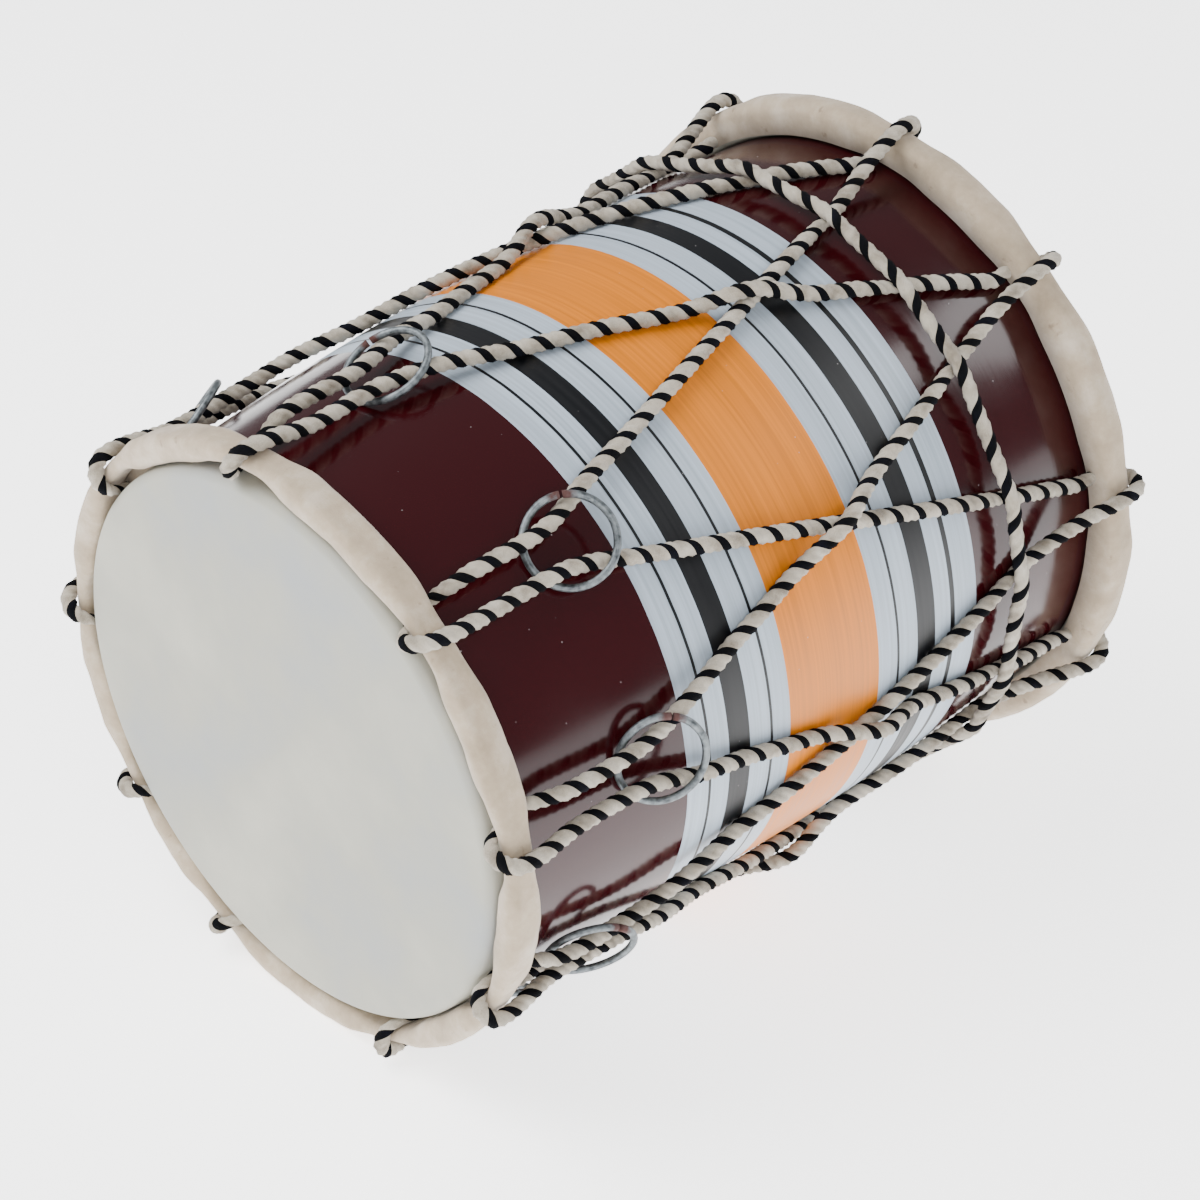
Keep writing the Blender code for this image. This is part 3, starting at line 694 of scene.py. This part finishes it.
def cotton_yarn(name, tone, dark, light, sheen):
    """Spun cotton laid up as rope: matt, fibrous, paler on its crowns."""
    material, tree, shader = new_material(name)
    vector = add_node(tree, "ShaderNodeTexCoord").outputs["Object"]
    # Soil in patches of 8 mm; the fibres, really finer, are drawn at 0.4 mm so that they show
    soil = noise_value(tree, vector, 120.0, 4.0)
    base = add_ramp(tree, soil, [(0.3, dark), (0.5, tone), (0.75, light)])
    fibre = noise_value(tree, vector, 2600.0, 4.0, 0.7)
    fibre_tone = add_ramp(tree, fibre, [(0.3, grey(0.72)), (0.7, grey(1.15))])
    base = mix_colours(tree, 1.0, base, fibre_tone, "MULTIPLY")
    tree.links.new(base, shader.inputs["Base Color"])
    shader.inputs["Roughness"].default_value = 0.95
    shader.inputs["Specular IOR Level"].default_value = 0.15
    shader.inputs["Sheen Weight"].default_value = sheen
    shader.inputs["Sheen Roughness"].default_value = 0.6
    add_bump(tree, shader, fibre, 0.8, 0.0005)
    return material


def galvanised_wire():
    """Drawn steel wire, hot-dip galvanised and handled for years: dull grey, rusting where it was cut."""
    material, tree, shader = new_material("galvanised_wire")
    vector = add_node(tree, "ShaderNodeTexCoord").outputs["Object"]
    # Spangle of about 2.5 mm, and rust in blotches of 4 mm near the cut
    spangle = noise_value(tree, vector, 420.0, 4.0)
    wire = tuple(colours().wire)
    base = add_ramp(tree, spangle, [(0.3, srgb("45494C")), (0.5, wire), (0.75, srgb("8E9497"))])
    split = add_node(tree, "ShaderNodeAttribute", attribute_name="near_split").outputs["Fac"]
    blotch = noise_value(tree, vector, 260.0, 4.0)
    rusty = add_node(tree, "ShaderNodeMath", {0: split, 1: blotch}, operation="MULTIPLY").outputs[0]
    rusty = add_ramp(tree, rusty, [(0.22, grey(0.0)), (0.42, grey(0.85))])
    tree.links.new(mix_colours(tree, rusty, base, tuple(colours().rust)), shader.inputs["Base Color"])
    metal = mix_colours(tree, rusty, grey(0.85), grey(0.1))
    tree.links.new(metal, shader.inputs["Metallic"])
    rough = add_ramp(tree, spangle, [(0.3, grey(0.42)), (0.7, grey(0.6))])
    tree.links.new(mix_colours(tree, rusty, rough, grey(0.9)), shader.inputs["Roughness"])
    add_bump(tree, shader, spangle, 0.25, 0.0003)
    return material


def split_cane():
    """Split bamboo bent to a hoop: hard, pale, with long fibres."""
    material, tree, shader = new_material("split_bamboo")
    # Fibres a millimetre wide and 50 mm long, along the hoop
    fibre = noise_value(tree, scaled(tree, drum_coordinates(tree), (900.0, 20.0, 20.0)), 1.0, 4.0)
    base = add_ramp(tree, fibre, [(0.3, srgb("9A7B4C")), (0.7, srgb("CDB07A"))])
    tree.links.new(base, shader.inputs["Base Color"])
    shader.inputs["Roughness"].default_value = 0.55
    add_bump(tree, shader, fibre, 0.2, 0.0004)
    return material


def tar_paste():
    """Tar, oil and sand kneaded and smeared by hand: black, dull and lumpy."""
    material, tree, shader = new_material("smeared_tar_paste")
    vector = add_node(tree, "ShaderNodeTexCoord").outputs["Object"]
    # Lumps of about 8 mm
    lumps = noise_value(tree, vector, 130.0, 6.0)
    base = add_ramp(tree, lumps, [(0.3, srgb("14110F")), (0.7, srgb("34302B"))])
    tree.links.new(base, shader.inputs["Base Color"])
    shader.inputs["Roughness"].default_value = 0.7
    add_bump(tree, shader, lumps, 0.7, 0.0015)
    return material


# Pieces
def finish_piece(name, mesh, body, slot, nodes, *materials):
    """Links a finished mesh, smooth shaded, hangs it on the body it rides on and hides the solids it stands
    for.
    """
    for material in materials:
        mesh.materials.append(material)
    mesh.shade_smooth()
    piece = bpy.data.objects.new(name, mesh)
    bpy.context.scene.collection.objects.link(piece)
    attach(piece, body)
    if nodes:
        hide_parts(*nodes)
    return piece


def spun_mesh(name, outline, steps, shape=None):
    """Turns a closed outline of (station, radius) round the axis, then lets shape move each vertex."""
    bm = bmesh.new()
    row = bm.verts.layers.int.new("row")
    ends = []
    for k, (x, radius) in enumerate(outline):
        vertex = bm.verts.new(local(x, radius, 180 / steps))
        vertex[row] = k
        ends.append(vertex)
    edges = [bm.edges.new((a, b)) for a, b in zip(ends, ends[1:] + ends[:1])]
    bmesh.ops.spin(
        bm, geom=ends + edges, axis=(1, 0, 0), cent=(0, 0, 0), angle=math.tau, steps=steps, use_merge=True
    )
    bmesh.ops.remove_doubles(bm, verts=bm.verts, dist=MERGE_DISTANCE)
    bmesh.ops.delete(bm, geom=[edge for edge in bm.edges if edge.is_wire], context="EDGES")
    if shape:
        for vertex in bm.verts:
            angle = math.degrees(math.atan2(-vertex.co.y, vertex.co.z)) % 360
            vertex.co = shape(vertex[row], angle)
    bmesh.ops.recalc_face_normals(bm, faces=bm.faces)
    bmesh.ops.transform(bm, matrix=drum_matrix(), verts=bm.verts)
    mesh = bpy.data.meshes.new(name)
    bm.to_mesh(mesh)
    bm.free()
    return mesh


def rim_arc(x, edge, turns, sign):
    """The rounded bearing edge at one end of the shell, as (station, radius)."""
    points = []
    for turn in turns:
        lean = math.radians(turn)
        points.append((x + sign * edge * math.sin(lean), shell_radius(x) - edge + edge * math.cos(lean)))
    return points


class DHOLAK_OT_shell(bpy.types.Operator):
    """Turns the barrel and gives it its lacquer and painted bands"""

    bl_idname = "dholak.shell"
    bl_label = "Barrel shell"

    def execute(self, context):
        edge = BEARING_EDGE_RADIUS
        first, last = FACE_TO_RIM + edge, TOTAL - FACE_TO_RIM - edge
        outside = [first + (last - first) * k / BARREL_ROWS for k in range(BARREL_ROWS + 1)]
        inside = [TOTAL - FACE_TO_RIM - SHELL_LENGTH * k / INSIDE_ROWS for k in range(INSIDE_ROWS + 1)]
        outline = rim_arc(first, edge, EDGE_TURNS, -1)
        outline += [(x, shell_radius(x)) for x in outside]
        outline += rim_arc(last, edge, EDGE_TURNS[::-1], 1)
        outline += [(x, shell_radius(x) - WALL) for x in inside]
        mesh = spun_mesh("shell_turned", outline, BARREL_SIDES)
        lacquer, bare = lacquered_barrel(), bare_hardwood()
        finish_piece("shell_turned", mesh, "drum", "lacquered_wood", ["shell"], lacquer, bare)
        # The lacquer goes over the bearing edge, and the inside is bare
        turned_back = drum_matrix().inverted()
        for face in mesh.polygons:
            point = turned_back @ face.center
            if math.hypot(point.y, point.z) < shell_radius(point.x) - BARE_DEPTH:
                face.material_index = 1
        return {"FINISHED"}


def looseness(angle, ropes, half_width):
    """How loose the wrap is at an angle: 0 where a rope pinches it, 1 well clear of the ropes."""
    apart = min(abs((angle - rope + 180) % 360 - 180) for rope in ropes)
    share = min(max((apart - half_width) / PINCH_FADE, 0.0), 1.0)
    return share * share * (3 - 2 * share)


def ruffle(angle, place_along, seed):
    """Smooth noise that closes on itself round the drum, about -1 to 1."""
    turn = math.radians(angle)
    circle = (RUFFLE_ROUND * math.cos(turn), RUFFLE_ROUND * math.sin(turn))
    spot = Vector((*circle, place_along * RUFFLE_ALONG + seed))
    return noise.noise(spot) + 0.5 * noise.noise(spot * RUFFLE_FINER)


def skin_middle(head, angle):
    """Middle line of the skin's thickness, as (u, r), from the head's centre to the tucked end."""
    swell = looseness(angle, [loop + head.spread for loop in head.loops], PINCH_OVER)
    slack = looseness(angle, head.loops, head.spread + PINCH_UNDER)
    edge = BEARING_EDGE_RADIUS
    seat_u = FACE_TO_RIM + edge
    seat_r = head.shell(seat_u) - edge
    bend = edge + GAP + SKIN / 2
    points = [(seat_u - bend, seat_r * share) for share in HEAD_SHARES]
    for turn in RIM_BEND_TURNS:
        lean = math.radians(turn)
        points.append((seat_u - bend * math.cos(lean), seat_r + bend * math.sin(lean)))
    collar_u = HOOP_STATION + head.half_flat
    points.append((collar_u, head.shell(collar_u) + GAP + SKIN / 2))
    back_u = head.around(180, WRAP_SWELL * swell)[0]
    points.append((back_u + WRAP_FOOT[0], head.collar_top + WRAP_FOOT[1]))
    seed = RUFFLE_BASS if head.bass else 0.0
    for k, turn in enumerate(WRAP_TURNS):
        wander = max(sizes().wrap_ruffle * swell * ruffle(angle, k * RUFFLE_ROW, seed), RUFFLE_DENT)
        u, r = head.around(turn, WRAP_SWELL * swell + wander)
        sag = WRAP_SLACK * slack * math.sin(math.radians(-turn)) if turn < 0 else 0.0
        points.append((u, r - sag))
    return points


def thicken(points, thickness):
    """Both sides of an open line, joined into one closed outline."""
    line = [Vector(p) for p in points]
    sides = ([], [])
    for i, here in enumerate(line):
        before = (here - line[i - 1]).normalized() if i else None
        after = (line[i + 1] - here).normalized() if i + 1 < len(line) else None
        along = ((before or after) + (after or before)).normalized()
        across = Vector((-along.y, along.x))
        reach = thickness / 2
        if before and after:
            reach /= max(across.dot(Vector((-before.y, before.x))), MITRE_LEAST)
        sides[0].append(here + across * reach)
        sides[1].append(here - across * reach)
    return sides[0] + sides[1][::-1]


def make_skin(head, name, node, face_material, wrap_material):
    """Skin over the head and lapped round its hoop, pinched under each rope."""
    outlines = {}

    def shape(row, angle):
        key = round(angle, 3)
        if key not in outlines:
            outlines[key] = thicken(skin_middle(head, angle), SKIN)
        u, r = outlines[key][row]
        return local(head.station(u), r, angle)

    outline = [(head.station(u), r) for u, r in thicken(skin_middle(head, 0.0), SKIN)]
    mesh = spun_mesh(name, outline, SKIN_SIDES, shape)
    # The wrap is pressed flat where the drum rests on the floor
    for vertex in mesh.vertices:
        vertex.co.z = max(vertex.co.z, FLOOR_LEVEL)
    finish_piece(name, mesh, "drum", "goatskin", [node], face_material, wrap_material)
    turned_back = drum_matrix().inverted()
    limit = head.shell(FACE_TO_RIM + BEARING_EDGE_RADIUS) + HEAD_EDGE
    for face in mesh.polygons:
        point = turned_back @ face.center
        if math.hypot(point.y, point.z) > limit:
            face.material_index = 1


class DHOLAK_OT_skins(bpy.types.Operator):
    """Stretches both skins and laps them round their hoops"""

    bl_idname = "dholak.skins"
    bl_label = "Skins"

    def execute(self, context):
        face, wrap = rawhide_head(), suede_wrap()
        make_skin(TREBLE, "treble_skin_lapped", "treble_skin", face, wrap)
        make_skin(BASS, "bass_skin_lapped", "bass_skin", face, wrap)
        return {"FINISHED"}


class DHOLAK_OT_inner_pieces(bpy.types.Operator):
    """Finishes the hoops and the tuning paste that the skins hide"""

    bl_idname = "dholak.inner_pieces"
    bl_label = "Hoops and paste"

    def execute(self, context):
        cane = split_cane()
        for node in ("treble_hoop", "bass_hoop"):
            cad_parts[node].data.materials.clear()
            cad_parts[node].data.materials.append(cane)
        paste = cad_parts["bass_tuning_paste"]
        paste.data.materials.clear()
        paste.data.materials.append(tar_paste())
        return {"FINISHED"}


def rope_section(name):
    """Section of a three-strand rope of radius 1, as a closed curve used to bevel its line."""
    curve = bpy.data.curves.new(name, "CURVE")
    curve.dimensions = "2D"
    spline = curve.splines.new("POLY")
    spline.points.add(LOBES * LOBE_POINTS - 1)
    for k, point in enumerate(spline.points):
        turn = math.tau * (k / len(spline.points) - 0.5 / LOBES)
        reach = 1 - LOBE_DEPTH * (1 - math.cos(LOBES * turn)) / 2
        point.co = (reach * math.cos(turn), reach * math.sin(turn), 0, 1)
    spline.use_cyclic_u = True
    section = bpy.data.objects.new(name, curve)
    bpy.context.scene.collection.objects.link(section)
    return section


def laid_rope(name, route, pitch, steps_per_turn, fullness):
    """Mesh of a three-strand rope: a lobed section swept along its line and turned by the lay."""
    points = [(place(x, r, angle), radius) for x, r, angle, radius in route]
    line = smooth_line(points, pitch / steps_per_turn)
    section = rope_section(name + "_section")
    curve = bpy.data.curves.new(name + "_line", "CURVE")
    curve.dimensions = "3D"
    curve.bevel_mode = "OBJECT"
    curve.bevel_object = section
    curve.use_fill_caps = True
    curve.twist_mode = "MINIMUM"
    spline = curve.splines.new("POLY")
    spline.points.add(len(line) - 1)
    travelled = 0.0
    for k, (point, (position, radius)) in enumerate(zip(spline.points, line)):
        if k:
            travelled += (position - line[k - 1][0]).length
        point.co = (*position, 1)
        point.radius = radius * fullness
        # A tilt past sixty turns is cut off, so it starts again at each turn
        point.tilt = math.tau * (travelled / pitch % 1)
    holder = bpy.data.objects.new(name + "_line", curve)
    bpy.context.scene.collection.objects.link(holder)
    bpy.context.view_layer.update()
    graph = bpy.context.evaluated_depsgraph_get()
    mesh = bpy.data.meshes.new_from_object(holder.evaluated_get(graph))
    mesh.name = name
    mesh.materials.clear()
    bpy.data.objects.remove(holder)
    bpy.data.objects.remove(section)
    # The first lobe of the section is the navy strand
    around = LOBES * LOBE_POINTS
    for face in mesh.polygons:
        spots = [v % around for v in face.vertices]
        first = around - 1 if 0 in spots and around - 1 in spots else min(spots)
        face.material_index = 1 if first < LOBE_POINTS else 0
    return mesh


class DHOLAK_OT_ropes(bpy.types.Operator):
    """Lays the lacing rope and the softer waist rope, each with a navy strand"""

    bl_idname = "dholak.ropes"
    bl_label = "Ropes"

    def execute(self, context):
        palette = colours()
        cream, navy = tuple(palette.rope), tuple(palette.marker)
        cream = cotton_yarn("laid_cotton_cream", cream, srgb("857A6A"), srgb("CBC3B4"), 0.3)
        navy = cotton_yarn("laid_cotton_navy", navy, srgb("010103"), srgb("0A0C18"), 0.0)
        pitch = sizes().rope_pitch
        lacing = laid_rope("lacing_rope_laid", lacing_route(), pitch, LACING_STEPS, STRAND_FULLNESS)
        finish_piece("lacing_rope_laid", lacing, "drum", "cotton_rope", ["lacing_rope"], cream, navy)
        pitch = sizes().waist_pitch
        waist = laid_rope("waist_rope_laid", waist_route(), pitch, WAIST_STEPS, WAIST_FULLNESS)
        finish_piece("waist_rope_laid", waist, "drum", "cotton_cross_rope", ["waist_rope"], cream, navy)
        return {"FINISHED"}


def make_ring(index, material):
    """Split ring of round wire, its two cut ends a little apart."""
    name = f"tuning_ring_{index + 1}"
    bm = bmesh.new()
    bmesh.ops.create_circle(bm, segments=WIRE_SIDES, radius=WIRE_RADIUS, cap_ends=True)
    bmesh.ops.rotate(bm, verts=bm.verts, cent=(0, 0, 0), matrix=Matrix.Rotation(math.radians(90), 3, "X"))
    bmesh.ops.translate(bm, verts=bm.verts, vec=(RING_RADIUS, 0, 0))
    bmesh.ops.spin(
        bm,
        geom=bm.verts[:] + bm.edges[:] + bm.faces[:],
        axis=(0, 0, 1),
        cent=(0, 0, 0),
        angle=math.radians(360 - RING_SPLIT),
        steps=RING_STEPS,
    )
    bmesh.ops.recalc_face_normals(bm, faces=bm.faces)
    near = bm.verts.layers.float.new("near_split")
    for vertex in bm.verts:
        turn = math.degrees(math.atan2(vertex.co.y, vertex.co.x)) % 360
        apart = min(turn, abs(360 - RING_SPLIT - turn))
        vertex[near] = max(0.0, 1.0 - apart / RUST_REACH)
        lean = math.radians(turn)
        wobble = noise.noise(Vector((math.cos(lean) * 2, math.sin(lean) * 2, index)))
        vertex.co *= 1 + RING_WOBBLE * wobble
    station = RING_STATIONS[index]
    centre = local(station, gather_radius(station) + RING_RISE, TREBLE_LOOPS[index])
    around = Matrix.Rotation(math.radians(TREBLE_LOOPS[index]), 4, "X")
    tilt = Matrix.Rotation(-RING_LEAN, 4, "Y")
    split = Matrix.Rotation(math.radians(RING_SPLIT_AT + RING_SPLIT / 2), 4, "Z")
    bmesh.ops.transform(
        bm, matrix=drum_matrix() @ Matrix.Translation(centre) @ around @ tilt @ split, verts=bm.verts
    )
    mesh = bpy.data.meshes.new(name + "_wire")
    bm.to_mesh(mesh)
    bm.free()
    finish_piece(name + "_wire", mesh, f"ring_{index + 1}", "galvanised_wire", [name], material)


class DHOLAK_OT_rings(bpy.types.Operator):
    """Bends the nine split tuning rings"""

    bl_idname = "dholak.rings"
    bl_label = "Tuning rings"

    def execute(self, context):
        wire = galvanised_wire()
        for index in range(LOOPS):
            make_ring(index, wire)
        return {"FINISHED"}


def area_light(name, place_at, aim, size, power):
    """Softbox: a large square light turned towards a point."""
    light = bpy.data.lights.new(name, "AREA")
    light.shape = "RECTANGLE"
    light.size = light.size_y = size
    light.energy = power
    holder = bpy.data.objects.new(name, light)
    bpy.context.scene.collection.objects.link(holder)
    holder.location = place_at
    holder.rotation_euler = (Vector(aim) - Vector(place_at)).to_track_quat("-Z", "Y").to_euler()


class DHOLAK_OT_stage(bpy.types.Operator):
    """Sets the pale floor, the soft studio light and the camera"""

    bl_idname = "dholak.stage"
    bl_label = "Stage"

    def execute(self, context):
        bm = bmesh.new()
        bmesh.ops.create_grid(bm, x_segments=1, y_segments=1, size=FLOOR_HALF)
        mesh = bpy.data.meshes.new("studio_floor")
        bm.to_mesh(mesh)
        bm.free()
        material, _, shader = new_material("matt_studio_floor")
        shader.inputs["Base Color"].default_value = (*colours().floor, 1.0)
        shader.inputs["Roughness"].default_value = 0.9
        shader.inputs["Emission Color"].default_value = (1.0, 1.0, 1.0, 1.0)
        shader.inputs["Emission Strength"].default_value = FLOOR_GLOW
        mesh.materials.append(material)
        floor = bpy.data.objects.new("studio_floor", mesh)
        bpy.context.scene.collection.objects.link(floor)
        world = bpy.data.worlds.new("soft_room")
        world.use_nodes = True
        background = world.node_tree.nodes["Background"]
        background.inputs["Color"].default_value = (*ROOM_COLOUR, 1.0)
        background.inputs["Strength"].default_value = ROOM_STRENGTH
        bpy.context.scene.world = world
        for softbox in SOFTBOXES:
            area_light(*softbox)
        make_camera()
        return {"FINISHED"}


def make_camera():
    """Camera at the photograph's angle, the treble face's centre on its pixel at its distance."""
    azimuth, elevation = math.radians(CAMERA_AZIMUTH), math.radians(CAMERA_ELEVATION)
    level = Vector((-math.sin(azimuth), math.cos(azimuth), 0.0))
    forward = level * math.cos(elevation) - Vector((0.0, 0.0, math.sin(elevation)))
    turn = forward.to_track_quat("-Z", "Y")
    right, up = turn @ Vector((1, 0, 0)), turn @ Vector((0, 1, 0))
    data = bpy.data.cameras.new("camera")
    data.sensor_width = SENSOR
    data.lens = FOCAL_PIXELS / PHOTO_SIZE * SENSOR
    across = (FACE_PIXEL[0] - PHOTO_SIZE / 2) / FOCAL_PIXELS
    down = (FACE_PIXEL[1] - PHOTO_SIZE / 2) / FOCAL_PIXELS
    camera = bpy.data.objects.new("camera", data)
    bpy.context.scene.collection.objects.link(camera)
    camera.rotation_mode = "QUATERNION"
    camera.rotation_quaternion = turn
    camera.location = FACE_CENTRE - FACE_DEPTH * (forward + right * across - up * down)
    bpy.context.scene.camera = camera


STEPS = ("shell", "skins", "inner_pieces", "ropes", "rings", "stage")


class DHOLAK_PT_panel(bpy.types.Panel):
    """Lists the colours, the sizes and the steps"""

    bl_idname = "DHOLAK_PT_panel"
    bl_label = "Dholak"
    bl_space_type = "VIEW_3D"
    bl_region_type = "UI"
    bl_category = "Dholak"

    def draw(self, context):
        for group in (context.scene.dholak_sizes, context.scene.dholak_colours):
            for name in group.__annotations__:
                self.layout.prop(group, name)
        for step in STEPS:
            self.layout.operator("dholak." + step)


CLASSES = (
    DholakColours,
    DholakSizes,
    DHOLAK_OT_shell,
    DHOLAK_OT_skins,
    DHOLAK_OT_inner_pieces,
    DHOLAK_OT_ropes,
    DHOLAK_OT_rings,
    DHOLAK_OT_stage,
    DHOLAK_PT_panel,
)


def register():
    for cls in CLASSES:
        bpy.utils.register_class(cls)
    bpy.types.Scene.dholak_colours = bpy.props.PointerProperty(type=DholakColours)
    bpy.types.Scene.dholak_sizes = bpy.props.PointerProperty(type=DholakSizes)


def unregister():
    del bpy.types.Scene.dholak_sizes
    del bpy.types.Scene.dholak_colours
    for cls in reversed(CLASSES):
        bpy.utils.unregister_class(cls)


def main():
    register()
    for step in STEPS:
        getattr(bpy.ops.dholak, step)()


if __name__ == "__main__":
    main()
